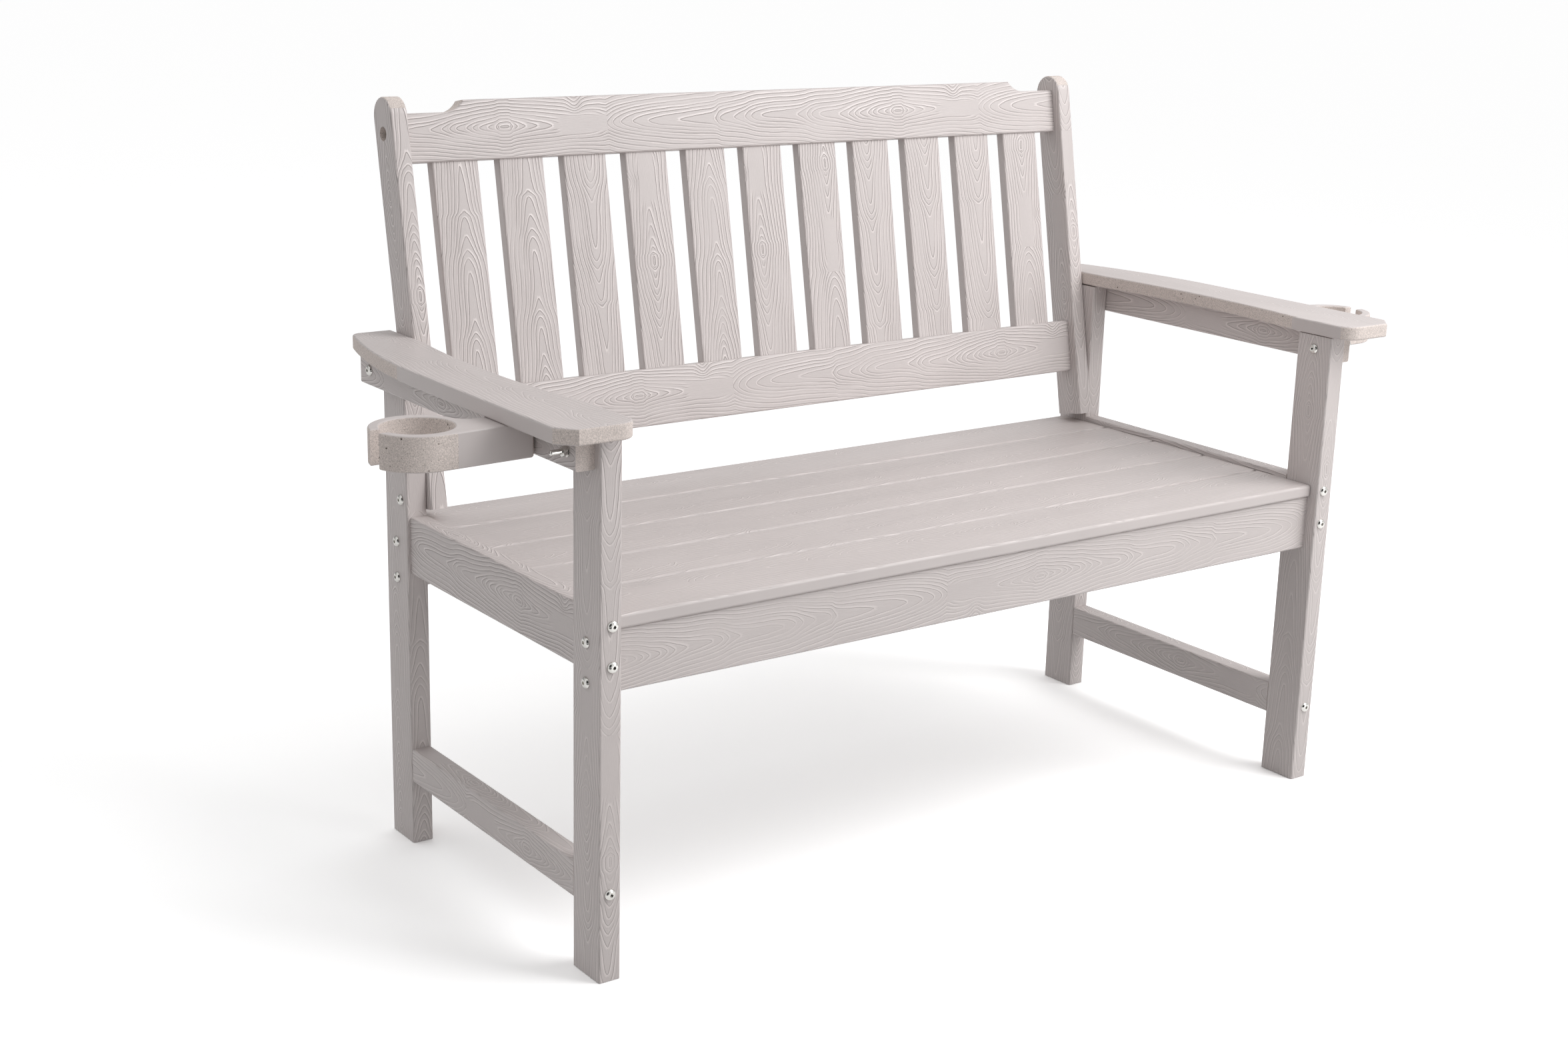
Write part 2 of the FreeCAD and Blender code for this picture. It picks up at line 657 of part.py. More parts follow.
def holder_arm_outline():
    """Plate under the arm, seen from above with the pivot at the origin and the ring along +X.

    The front inner corner is cut off. The rear inner corner follows the pivot's circle and then
    its tangent, so that it clears the cleat while the holder swings to the rear."""
    side = holder_arm_width / 2
    end = holder_end_gap - holder_pivot_out
    clear = holder_pivot_out - holder_swing_air
    swing = math.radians(holder_swing_back)
    start = math.acos(-end / clear)
    arc_mid = (start + swing) / 2
    leave = Vector(-clear * math.cos(swing), clear * math.sin(swing), 0)
    foot_x = -(clear - side * math.sin(swing)) / math.cos(swing)
    return Part.Wire([
        Part.makeLine(Vector(end, holder_end_cut - side, 0), Vector(end + holder_end_cut, -side, 0)),
        Part.makeLine(Vector(end + holder_end_cut, -side, 0), Vector(holder_reach, -side, 0)),
        Part.makeLine(Vector(holder_reach, -side, 0), Vector(holder_reach, side, 0)),
        Part.makeLine(Vector(holder_reach, side, 0), Vector(foot_x, side, 0)),
        Part.makeLine(Vector(foot_x, side, 0), leave),
        Part.Arc(leave, Vector(-clear * math.cos(arc_mid), clear * math.sin(arc_mid), 0),
                 Vector(end, clear * math.sin(start), 0)).toShape(),
        Part.makeLine(Vector(end, clear * math.sin(start), 0), Vector(end, holder_end_cut - side, 0)),
    ])


def holder():
    """Cup holder: an open ring on a short arm, drawn about its pivot with its underside at zero."""
    side = holder_arm_width / 2
    middle = Vector(holder_reach, ring_outer_radius - side, 0)
    plate = Part.Face(holder_arm_outline()).extrude(Vector(0, 0, holder_thick))
    disc = Part.makeCylinder(ring_outer_radius, holder_thick, middle)
    body = plate.fuse(disc).removeSplitter()
    root_x = holder_reach - math.sqrt(ring_outer_radius ** 2 - (side - middle.y) ** 2)
    root = [e for e in body.Edges if e.BoundBox.ZLength > holder_thick * 0.9
            and abs(e.BoundBox.XMin - root_x) < 0.5 and abs(e.BoundBox.YMax - side) < 0.5]
    body = body.makeFillet(ring_fillet, root)
    body = body.cut(Part.makeCylinder(cup_bore_radius, holder_thick, middle))
    slit_start = Vector(holder_reach, middle.y - handle_slit / 2, 0)
    body = body.cut(Part.makeBox(ring_outer_radius * 2, handle_slit, holder_thick, slit_start))
    rims = [e for e in body.Edges if e.BoundBox.ZLength < 0.01]
    body = body.makeFillet(holder_edge_round, rims)
    return body.cut(rod(bolt_radius + insert_play, holder_thick, Vector(0, 0, 0), Z))


def hung(shape, swing):
    """Puts a piece drawn about the pivot under the right arm, swung to the rear by swing degrees."""
    placed = shape.copy()
    placed.rotate(Vector(0, 0, 0), Z, swing)
    placed.translate(Vector(pivot_x, pivot_y, holder_bottom))
    return placed


def cup_holders():
    """Both holders with their pivot bolts, washers and the inserts in the arms."""
    plate = holder()
    washer_top = holder_bottom - holder_air
    washer = rod(swivel_washer_radius, washer_thick, Vector(pivot_x, pivot_y, washer_top), -Z)
    washer = washer.cut(rod(bolt_hole_radius, washer_thick, Vector(pivot_x, pivot_y, washer_top), -Z))
    seat_z = washer_top - washer_thick
    length = leg_height + arm_insert_length - bolt_end_gap - seat_z
    pivot = bolt(length, Vector(pivot_x, pivot_y, seat_z), Z)
    sleeve = insert(arm_insert_length, Vector(pivot_x, pivot_y, leg_height), Z)
    return {
        "cup_holder_right": hung(plate, holder_rest_right),
        "cup_holder_left": mirrored(hung(plate, holder_rest_left)),
        "swivel_bolts": group([pivot, mirrored(pivot)]),
        "swivel_washers": group([washer, mirrored(washer)]),
        "swivel_inserts": group([sleeve, mirrored(sleeve)]),
    }


def build():
    fasteners, holes = bolts_and_holes()
    pieces = {name: group(solids) for name, solids in fasteners.items()}
    seat_pieces, seat_drills = seat()
    holes = holes + seat_drills
    pieces.update(seat_pieces)
    pieces.update(legs(holes))
    pieces.update(long_aprons(holes))
    pieces.update(side_rails(holes))
    pieces.update(arms(holes))
    pieces.update(uprights(holes))
    pieces.update(rails(holes))
    pieces.update(slats())
    pieces.update(cup_holders())
    return pieces


os.makedirs("parts", exist_ok=True)
for node, shape in build().items():
    shape.exportStep("parts/%s.step" % node)
    print(node, len(shape.Solids), shape.isValid())
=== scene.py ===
import math

import bpy
import numpy as np
from mathutils import Matrix, Vector

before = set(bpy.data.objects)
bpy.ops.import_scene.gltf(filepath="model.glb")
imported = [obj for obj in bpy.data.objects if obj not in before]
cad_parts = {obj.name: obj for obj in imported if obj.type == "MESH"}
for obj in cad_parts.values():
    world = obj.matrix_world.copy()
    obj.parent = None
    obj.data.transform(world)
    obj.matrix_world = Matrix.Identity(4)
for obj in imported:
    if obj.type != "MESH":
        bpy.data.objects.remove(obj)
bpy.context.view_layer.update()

# Four square legs carry the bench. Like every board here they are foamed polyethylene lumber: an
# extruded bar with a warm grey skin, into which an engraved roller presses a wood grain, round a
# sandy core that shows where a board is sawn.

MM = 0.001
SKIN = "#C6BEBC"
# painted shade, laid into the floors of the pressed furrows
FURROW_SHADE = "#8C8581"
CORE = "#D2C7C1"
SPECK = "#5B5048"

# The roller's figure: rings round a slanting pith, cut by the board's face. It starts and ends far
# from the knot, where the pith lies deep and the lines run straight. All sizes are in mm.
ROLLER_ROUND = 610.0         # length of board after which the figure comes again
ROLLER_FROM = -465.0         # from the knot to where the figure starts
LINE_GAP = 4.0               # between two lines beside the knot
FIRST_LINE = 5.4             # from the middle of the knot to its first ring
POINTED = 1.6                # the power p of the rings: 2 gives round arches, 1 gables
PITH_DEPTH = 54.0            # the deepest that the pith lies below the face
PITH = (                     # place along the roller from the knot, and the pith's depth there
    (-465, 53.3), (-450, 50.2), (-425, 47.2), (-390, 44.6), (-340, 42.9), (-302, 41.4), (-295, 39.4),
    (-272, 37.4), (-255, 35.4), (-245, 33.4), (-228, 31.4), (-170, 29.4), (-155, 27.4), (-147, 25.4),
    (-133, 23.4), (-100, 21.4), (-85, 19.4), (-75, 17.4), (-66, 15.4), (-52, 13.4), (-44, 11.4),
    (-35, 9.4), (-12, 5.4), (0, 0.0), (10, 5.4), (28, 9.4), (65, 13.4), (80, 14.8), (92, 15.6),
    (145, 53.3),
)
SLOPE_STEP = 4.0             # how far along the pith's slope is taken
WANDER = (9.0, 150, 60)      # how far a line strays sideways, and over what length and width
RIPPLE = (1.6, 24, 8)        # the same, finer
SMALL_KNOT = (100, 9, 8.0)   # its place past the knot, its half length, and its pull on the lines
SMALL_KNOT_EDGE = (8.0, 24.0)  # the pull grows between these, towards one edge
BLANK = (66.0, 80.0)         # the plain stretch past the knot fades in between these
BLANK_REACH = (9.0, 13.0)    # and out between these, to either side
STEEP = 86.0                 # past this the pith dives, and the figure closes
STEEP_DEPTH = (15.2, 53.3)   # from this depth to this
STEEP_LINES = 8.0            # lines that the dive would add, taken off again
STEEP_EASED = 0.85           # share of the dive that the lines' width leaves out
TIP = (0.24, 0.50)           # share of across in the ring at which the lines between fade out
LINE_REACH = 2.5             # half width of one line's profile
TURNED = 0.62                # a rounded edge belongs to the face whose axis it points along by this much
CUT_IN = 1.4                 # an edge that lies this far inside the full width was sawn

PRESSED = 0.8                # height of the figure's relief at full press
PORE = 0.15                  # depth of the pores in the skin
PIT = 0.25                   # depth of the pits in the sawn core


def linear(code):
    """Turns an sRGB hex colour into the linear red, green, blue and alpha that a shader takes."""
    values = [int(code[k:k + 2], 16) / 255 for k in (1, 3, 5)]
    return [v / 12.92 if v <= 0.04045 else ((v + 0.055) / 1.055) ** 2.4 for v in values] + [1.0]


def add(tree, kind, inputs=(), **settings):
    """Adds one node. Inputs, by place or by name, are values, sockets, or nodes for their first output."""
    made = tree.nodes.new("ShaderNode" + kind)
    for key, value in settings.items():
        setattr(made, key, value)
    places = inputs.items() if isinstance(inputs, dict) else enumerate(inputs)
    for key, value in places:
        if isinstance(value, bpy.types.Node):
            value = value.outputs[0]
        if isinstance(value, bpy.types.NodeSocket):
            tree.links.new(value, made.inputs[key])
        elif value is not None:
            made.inputs[key].default_value = value
    return made


def lumber(name, middle, turn, half_width, wide, narrow, press, shaped, milled):
    """Foamed lumber with a pressed skin: a satin, cloudy grey with painted shade in the furrows and a
    painted highlight on the lips, and a matt, speckled core where it is sawn. Turn maps the board's own
    axes, grain, width and thickness, to the bench. Wide and narrow say where a knot lies on those faces,
    in mm along and across from the board's middle, and as 1 or -1 which way the roller ran and which
    edge its small knot is at. A line is drawn wherever (across^p + depth^p)^(1/p), the distance from a
    pith that lies depth below the face, passes a whole number of gaps. On the face two lines lie that
    gap divided by the steepness of the distance apart, and from this each is drawn equally wide in mm."""
    made = bpy.data.materials.new(name)
    made.use_nodes = True
    tree = made.node_tree
    tree.nodes.clear()
    coordinates = add(tree, "TexCoord")
    euler = turn.to_euler()
    own = add(tree, "Mapping", [coordinates.outputs["Object"], middle, euler, (MM, MM, MM)],
              vector_type="TEXTURE")
    facing = add(tree, "Mapping", [coordinates.outputs["Normal"], (0, 0, 0), euler, (1, 1, 1)],
                 vector_type="TEXTURE")
    facing = add(tree, "SeparateXYZ", [add(tree, "VectorMath", [facing], operation="ABSOLUTE")])
    place = add(tree, "SeparateXYZ", [own])

    # A face is wide, narrow or sawn by the way it points. Shaped edges lie inside the full width,
    # or past the place from which they are milled all round.
    is_wide = add(tree, "Math", [facing.outputs[2], TURNED], operation="GREATER_THAN")
    sawn = add(tree, "Math", [facing.outputs[0], TURNED], operation="GREATER_THAN")
    if shaped:
        out = add(tree, "Math", [place.outputs[1]], operation="ABSOLUTE")
        inside = add(tree, "Math", [out, half_width - CUT_IN], operation="LESS_THAN")
        if milled:
            beyond = add(tree, "Math", [place.outputs[0], 1 / milled], operation="MULTIPLY")
            beyond = add(tree, "Math", [beyond, 1.0], operation="GREATER_THAN")
            inside = add(tree, "Math", [inside, beyond], operation="MAXIMUM")
        thin = add(tree, "Math", [facing.outputs[2], 0.5], operation="LESS_THAN")
        cut = add(tree, "Math", [inside, thin], operation="MULTIPLY")
        sawn = add(tree, "Math", [sawn, cut], operation="MAXIMUM")

    # Along and across the roller, in mm from the knot.
    knot_along, knot_across, way, side = wide
    along = add(tree, "Math", [place.outputs[0], way, -knot_along * way], operation="MULTIPLY_ADD")
    across = add(tree, "Math", [place.outputs[1], side, -knot_across * side], operation="MULTIPLY_ADD")
    if narrow:
        knot_along, knot_across, way, side = narrow
        thin_along = add(tree, "Math", [place.outputs[0], way, -knot_along * way], operation="MULTIPLY_ADD")
        thin_across = add(tree, "Math", [place.outputs[2], side, -knot_across * side],
                          operation="MULTIPLY_ADD")
        along = add(tree, "Mix", {0: is_wide, 2: thin_along, 3: along}, data_type="FLOAT")
        across = add(tree, "Mix", {0: is_wide, 2: thin_across, 3: across}, data_type="FLOAT")
    roller = add(tree, "Math", [along, ROLLER_FROM + ROLLER_ROUND, ROLLER_FROM], operation="WRAP")
    plane = add(tree, "CombineXYZ", [along, across, float(knot_along)])

    # The lines wander a few millimetres, ripple, and are drawn inwards by a small knot at one edge.
    for sway, length, width in (WANDER, RIPPLE):
        drawn = add(tree, "VectorMath", [plane, (1 / length, 1 / width, 0.1)], operation="MULTIPLY")
        noise = add(tree, "TexNoise", {"Vector": drawn, "Scale": 1.0, "Detail": 1.0})
        across = add(tree, "Math", [noise, sway, add(tree, "Math", [across, -sway / 2], operation="ADD")],
                     operation="MULTIPLY_ADD")
    knot_place, knot_half, pull = SMALL_KNOT
    near = add(tree, "Math", [roller, 1 / knot_half, -knot_place / knot_half], operation="MULTIPLY_ADD")
    near = add(tree, "Math", [near, 2.0], operation="POWER")
    near = add(tree, "Math", [math.e, add(tree, "Math", [near, -1.0], operation="MULTIPLY")],
               operation="POWER")
    edge = add(tree, "MapRange", [across, *SMALL_KNOT_EDGE, 0.0, pull], interpolation_type="SMOOTHSTEP")
    across = add(tree, "Math", [near, edge, across], operation="MULTIPLY_ADD")

    # Depth of the pith under this place and a little further on, and from both its slope.
    depths = []
    for ahead in (0.0, SLOPE_STEP):
        share = add(tree, "MapRange", [add(tree, "Math", [roller, ahead], operation="ADD"), ROLLER_FROM,
                                       ROLLER_FROM + ROLLER_ROUND, 0.0, 1.0])
        pith = add(tree, "FloatCurve", {"Value": share})
        curve = pith.mapping.curves[0]
        curve.points[0].location = (0.0, PITH[0][1] / PITH_DEPTH)
        curve.points[1].location = (1.0, PITH[-1][1] / PITH_DEPTH)
        for far, depth in PITH[1:-1]:
            curve.points.new((far - ROLLER_FROM) / ROLLER_ROUND, depth / PITH_DEPTH)
        for point in curve.points:
            point.handle_type = "AUTO_CLAMPED"
        pith.mapping.update()
        depths.append(add(tree, "Math", [pith, PITH_DEPTH], operation="MULTIPLY"))
    slope = add(tree, "Math", [add(tree, "Math", [depths[1], depths[0]], operation="SUBTRACT"),
                               1 / SLOPE_STEP], operation="MULTIPLY")
    past = add(tree, "Math", [roller, STEEP], operation="GREATER_THAN")
    eased = add(tree, "Math", [past, -STEEP_EASED, 1.0], operation="MULTIPLY_ADD")
    slope = add(tree, "Math", [slope, eased], operation="MULTIPLY")

    # The ring through this place, how steeply it changes there, and its number in lines.
    reach = add(tree, "Math", [across], operation="ABSOLUTE")
    ring = add(tree, "Math", [add(tree, "Math", [reach, POINTED], operation="POWER"),
                              add(tree, "Math", [depths[0], POINTED], operation="POWER")], operation="ADD")
    ring = add(tree, "Math", [ring, 1 / POINTED], operation="POWER")
    lie = add(tree, "Math", [reach, ring], operation="DIVIDE")
    rise = add(tree, "Math", [lie, POINTED - 1], operation="POWER")
    run = add(tree, "Math", [add(tree, "Math", [depths[0], ring], operation="DIVIDE"), POINTED - 1],
              operation="POWER")
    run = add(tree, "Math", [run, slope], operation="MULTIPLY")
    steep = add(tree, "VectorMath", [add(tree, "CombineXYZ", [rise, run, 0.0])],
                operation="LENGTH").outputs["Value"]
    steep = add(tree, "Math", [steep, 0.05], operation="MAXIMUM")
    apart = add(tree, "Math", [LINE_GAP, steep], operation="DIVIDE")
    dive = add(tree, "MapRange", [depths[0], *STEEP_DEPTH, 0.0, -STEEP_LINES])
    dive = add(tree, "Math", [dive, past], operation="MULTIPLY")
    count = add(tree, "Math", [ring, 1 / LINE_GAP, -FIRST_LINE / LINE_GAP], operation="MULTIPLY_ADD")
    count = add(tree, "Math", [count, dive], operation="ADD")

    # Main lines, and between them lines that show only at the tips of the arches and then merge.
    # Each is a furrow with a raised lip beside it.
    tip = add(tree, "MapRange", [lie, *TIP, 1.0, 0.0], interpolation_type="SMOOTHSTEP")
    relief = 0.0
    for shift, share in ((0.5, 1.0), (0.0, tip)):
        phase = add(tree, "Math", [add(tree, "Math", [count, shift], operation="ADD")], operation="FRACT")
        off = add(tree, "Math", [add(tree, "Math", [phase, 0.5], operation="SUBTRACT"), apart],
                  operation="MULTIPLY")
        profile = add(tree, "ValToRGB", [add(tree, "MapRange", [off, -LINE_REACH, LINE_REACH, 0.0, 1.0])])
        ramp = profile.color_ramp
        ramp.interpolation = "EASE"
        ramp.elements[0].position, ramp.elements[0].color = 0.30, (0.5, 0.5, 0.5, 1.0)
        ramp.elements[1].position, ramp.elements[1].color = 0.46, (0.0, 0.0, 0.0, 1.0)
        for position, level in ((0.62, 0.86), (0.74, 0.80), (1.0, 0.5)):
            ramp.elements.new(position).color = (level, level, level, 1.0)
        line = add(tree, "Math", [profile, 0.5], operation="SUBTRACT")
        line = add(tree, "Math", [line, share], operation="MULTIPLY")
        relief = add(tree, "Math", [line, relief], operation="ADD")

    # The press varies along the board, leaves a plain stretch past the knot, and misses sawn faces.
    blank = add(tree, "MapRange", [roller, *BLANK, 0.0, 1.0], interpolation_type="SMOOTHSTEP")
    far = add(tree, "MapRange", [reach, *BLANK_REACH, 1.0, 0.0])
    blank = add(tree, "Math", [blank, far], operation="MULTIPLY")
    shown = add(tree, "Math", [1.0, blank], operation="SUBTRACT")
    faint = add(tree, "TexNoise", {"Vector": add(tree, "VectorMath", [plane, (1 / 90, 1 / 16, 0.1)],
                                                 operation="MULTIPLY"), "Scale": 1.0, "Detail": 1.0})
    pressed = add(tree, "MapRange", [faint, 0.34, 0.56, 0.4 * press, press])
    pressed = add(tree, "Math", [pressed, shown], operation="MULTIPLY")
    skinned = add(tree, "Math", [sawn, -1.0, 1.0], operation="MULTIPLY_ADD")
    if not narrow:
        skinned = add(tree, "Math", [skinned, is_wide], operation="MULTIPLY")
    relief = add(tree, "Math", [relief, add(tree, "Math", [pressed, skinned], operation="MULTIPLY")],
                 operation="MULTIPLY")
    pores = add(tree, "TexNoise", {"Vector": add(tree, "VectorMath", [own, (1 / 9, 1 / 0.9, 1 / 0.9)],
                                                 operation="MULTIPLY"), "Scale": 1.0, "Detail": 2.0})
    pores = add(tree, "Math", [add(tree, "Math", [pores, 0.5], operation="SUBTRACT"), skinned],
                operation="MULTIPLY")

    # The sawn core: millimetre grit, dark specks in half of the 1.5 mm cells, an open pore in each
    # 13 mm one. The real grit is finer, and is drawn just coarse enough to show.
    grit = add(tree, "TexNoise", {"Vector": own, "Scale": 0.8, "Detail": 3.0, "Roughness": 0.7})
    jag = add(tree, "TexNoise", {"Vector": own, "Scale": 1.1}).outputs["Color"]
    jagged = add(tree, "VectorMath", [own, jag], operation="ADD")
    cells = add(tree, "TexVoronoi", {"Vector": jagged, "Scale": 1 / 1.5, "Randomness": 1.0}, feature="F1")
    chosen = add(tree, "SeparateXYZ", [cells.outputs["Color"]])
    size = add(tree, "MapRange", [chosen.outputs[0], 0.5, 1.0, 0.0, 0.36])
    speck = add(tree, "MapRange", [add(tree, "Math", [size, cells.outputs["Distance"]],
                                       operation="SUBTRACT"), 0.0, 0.14, 0.0, 0.75])
    holes = add(tree, "TexVoronoi", {"Vector": own, "Scale": 1 / 13.0, "Randomness": 1.0}, feature="F1")
    hole = add(tree, "MapRange", [holes.outputs["Distance"], 0.05, 0.10, 1.0, 0.0])
    spots = add(tree, "Math", [speck, hole], operation="MAXIMUM")
    core = add(tree, "MixRGB", [spots, linear(CORE), linear(SPECK)])
    gritty = add(tree, "MapRange", [grit, 0.34, 0.66, 0.74, 1.22])
    core = add(tree, "VectorMath", {0: core, "Scale": gritty}, operation="SCALE")

    # Colour: painted shade in the furrows, a painted highlight on the shinier lips; the skin clouds slowly.
    # Painted shade: the deeper the furrow, the more its colour darkens towards the furrow colour.
    low = add(tree, "MapRange", [relief, -0.5, -0.02, 0.26, 0.0])
    skin = add(tree, "MixRGB", [low, linear(SKIN), linear(FURROW_SHADE)])
    cloud = add(tree, "TexNoise", {"Vector": add(tree, "VectorMath", [own, (1 / 160, 1 / 50, 1 / 50)],
                                                 operation="MULTIPLY"), "Scale": 1.0, "Detail": 3.0})
    shade = add(tree, "MapRange", [cloud, 0.3, 0.7, 0.965, 1.03])
    # Painted highlight: the raised lips are made up to 27 percent lighter in colour, as if light caught
    # them.
    lip = add(tree, "Math", [relief, 0.0], operation="MAXIMUM")
    shade = add(tree, "Math", [lip, 0.75, add(tree, "Math", [pores, 0.10, shade],
                                              operation="MULTIPLY_ADD")], operation="MULTIPLY_ADD")
    skin = add(tree, "VectorMath", {0: skin, "Scale": shade}, operation="SCALE")
    colour = add(tree, "MixRGB", [sawn, skin, core])
    worn = add(tree, "MapRange", [relief, -0.3, 0.2, 0.55, 0.33])
    rough = add(tree, "Mix", {0: sawn, 2: worn, 3: 0.85}, data_type="FLOAT")

    # Height in mm, from the pressed figure, the pores in the skin and the pits in the core.
    height = add(tree, "Math", [pores, PORE, add(tree, "Math", [relief, PRESSED], operation="MULTIPLY")],
                 operation="MULTIPLY_ADD")
    pits = add(tree, "Math", [add(tree, "Math", [grit, 0.3, spots], operation="MULTIPLY_ADD"), sawn],
               operation="MULTIPLY")
    height = add(tree, "Math", [pits, -PIT, height], operation="MULTIPLY_ADD")
    bump = add(tree, "Bump", {"Height": height, "Strength": 1.0, "Distance": MM})
    shader = add(tree, "BsdfPrincipled", {"Base Color": colour, "Roughness": rough, "Normal": bump})
    add(tree, "OutputMaterial", [shader])
    return made


def axes(grain, width):
    """Rotation from a board's own axes to the bench, from its grain and width directions."""
    grain, width = Vector(grain), Vector(width)
    return Matrix((grain, width, grain.cross(width))).transposed()


def dress(node, material):
    """Gives a CAD piece its finish, and soft-shades its rounded edges."""
    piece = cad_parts[node]
    for slot in piece.material_slots:
        slot.material = material
    piece.data.polygons.foreach_set("use_smooth", [True] * len(piece.data.polygons))
    weld = piece.modifiers.new("weld", "WELD")
    weld.merge_threshold = 0.01 * MM
    split = piece.modifiers.new("split", "EDGE_SPLIT")
    split.split_angle = math.radians(35)
    smooth = piece.modifiers.new("smooth", "WEIGHTED_NORMAL")
    smooth.weight = 100
    smooth.keep_sharp = True


def finish(node, turn, wide, narrow=None, press=1.0, shaped=False, milled=None):
    """Dresses one board in its own stretch of lumber, centred on the middle of its extent along
    its own axes. Past milled, in mm along the board from there, its edges are milled all round."""
    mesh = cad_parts[node].data
    corners = np.empty(len(mesh.vertices) * 3)
    mesh.vertices.foreach_get("co", corners)
    own = corners.reshape(-1, 3) @ np.array(turn)
    low, high = own.min(axis=0), own.max(axis=0)
    middle = turn @ Vector((low + high) / 2)
    half = (high[1] - low[1]) / 2 / MM
    dress(node, lumber("foamed_polyethylene_" + node, middle, turn, half, wide, narrow, press, shaped,
                       milled))


UPRIGHT_GRAIN = axes((0, 0, 1), (0, 1, 0))
finish("leg_front_left", UPRIGHT_GRAIN, (-95, -2, 1, 1), (-165, 2, 1, -1), press=0.8)
finish("leg_front_right", UPRIGHT_GRAIN, (205, 0, -1, -1), (130, 0, 1, 1), press=0.7)
finish("leg_rear_left", UPRIGHT_GRAIN, (-285, 6, -1, -1), (-345, 0, -1, 1), press=0.8)
finish("leg_rear_right", UPRIGHT_GRAIN, (60, 4, 1, 1), (-210, 1, 1, 1), press=0.8)


# Aprons of the same lumber join the legs all round below the seat, the side ones standing a little
# above it. Bolts through the legs run into threaded inserts in their ends.

LENGTHWISE = axes((1, 0, 0), (0, 0, 1))
SIDEWISE = axes((0, 1, 0), (0, 0, 1))
finish("front_apron", LENGTHWISE, (65, 0, -1, -1), press=0.6)
finish("rear_apron", LENGTHWISE, (-140, 3, 1, 1), press=0.6)
finish("side_apron_left", SIDEWISE, (-70, 3, -1, 1), (100, 0, 1, 1), press=1.1)
finish("side_apron_right", SIDEWISE, (50, -4, 1, 1), (-60, 0, 1, 1))


# One low stretcher ties the two legs at each end. It is a thicker bar of the same lumber, bolted
# through the legs' front and rear faces.

finish("stretcher_left", SIDEWISE, (-90, -3, 1, -1), (60, 2, 1, 1), press=0.8)
finish("stretcher_right", SIDEWISE, (-30, 4, -1, 1), (160, 0, 1, 1), press=0.8)


# Five lightly pressed boards lie along the bench with a narrow seam between them, on three bearers
# that run from the front apron to the rear one. Screws come up through the bearers, out of sight.

ALONG = axes((1, 0, 0), (0, 1, 0))
finish("seat_bearer_left", SIDEWISE, (0, 0, 1, 1))
finish("seat_bearer_middle", SIDEWISE, (120, 4, -1, 1))
finish("seat_bearer_right", SIDEWISE, (-150, -3, 1, -1))
finish("seat_board_1", ALONG, (60, 14, 1, 1), press=0.7)
finish("seat_board_2", ALONG, (-70, -12, -1, -1), press=0.7)
finish("seat_board_3", ALONG, (-125, -10, -1, -1), press=0.7)
finish("seat_board_4", ALONG, (-395, -10, -1, -1), press=0.75)
finish("seat_board_5", ALONG, (-215, 17, 1, 1), press=0.75)


# Two uprights with half-round sawn tops lean back, bolted inside the rear legs. Their narrow fronts
# are pressed as strongly as their flat sides.

LEAN = math.radians(10.7)
UP = (0.0, math.sin(LEAN), math.cos(LEAN))
BACKWARD = (0.0, math.cos(LEAN), -math.sin(LEAN))
LEANING = axes(UP, BACKWARD)
finish("back_upright_left", LEANING, (130, 0, 1, 1), (8, -3, -1, -1), press=1.2, shaped=True)
finish("back_upright_right", LEANING, (-70, -6, 1, 1), (20, 0, 1, 1), shaped=True)


# A bottom rail, and a top rail that a router raised in the middle with a cove at each end, cross
# between the uprights. Recessed bolts hold their ends.

RAIL = axes((1, 0, 0), UP)
finish("bottom_rail", RAIL, (385, 2, 1, 1))
finish("top_rail", RAIL, (230, 2, 1, 1), shaped=True, press=1.1)


# Eleven slats are let into both rails, without screws. Each was cut from another stretch of the
# same pressed board.

ACROSS_SLAT = axes(UP, (-1, 0, 0))
SLATS = (  # where the knot lies along and across each slat, which way the roller ran, and its edge
    (-225, -5, -1, -1), (-205, -6, -1, -1), (250, -5, 1, 1), (0, 2, 1, 1), (-155, -4, -1, -1),
    (3, 12, 1, 1), (110, -11, -1, -1), (185, 7, 1, 1), (200, -5, 1, 1), (345, -7, 1, 1),
    (120, -2, -1, -1),
)
for k, knot in enumerate(SLATS):
    finish("back_slat_%d" % (k + 1), ACROSS_SLAT, knot, press=1.1)


# A cleat of the same lumber is bolted along the outer side of the legs at each end, and carries the
# arm. Its front end is sawn.

finish("arm_cleat_left", SIDEWISE, (45, -5, 1, 1), (-40, 0, 1, 1))
finish("arm_cleat_right", SIDEWISE, (-120, 3, 1, 1), (90, 0, 1, 1))


# Flat arms are screwed down on the cleats from below. Only their straight outer and inner edges
# keep the skin: the cut corner, the round, the hollow and the sweep at the rear are sawn and show
# the core.

ARM = axes((0, 1, 0), (-1, 0, 0))
finish("arm_left", ARM, (235, -10, -1, -1), press=0.6, shaped=True)
finish("arm_right", ARM, (-150, -5, 1, 1), press=0.6, shaped=True)


# The cup holders are cut from a thick bar and swing on one bolt each. Top, underside and the straight
# front of the arm keep a smooth skin, and the ring, the bore and the slit are milled into the core.

for node, degrees, milled in (("cup_holder_left", 3.5, -12.0), ("cup_holder_right", 1.0, 12.0)):
    swing = math.radians(degrees)
    bar = axes((math.cos(swing), math.sin(swing), 0), (-math.sin(swing), math.cos(swing), 0))
    finish(node, bar, (milled * 25, 0, 1, 1), press=0.0, shaped=True, milled=milled)


# Bolts, washers and nuts are stainless steel, cold headed and polished, so they mirror the room.
# The heads are smooth domes on a flange, with a dark hexagon socket.

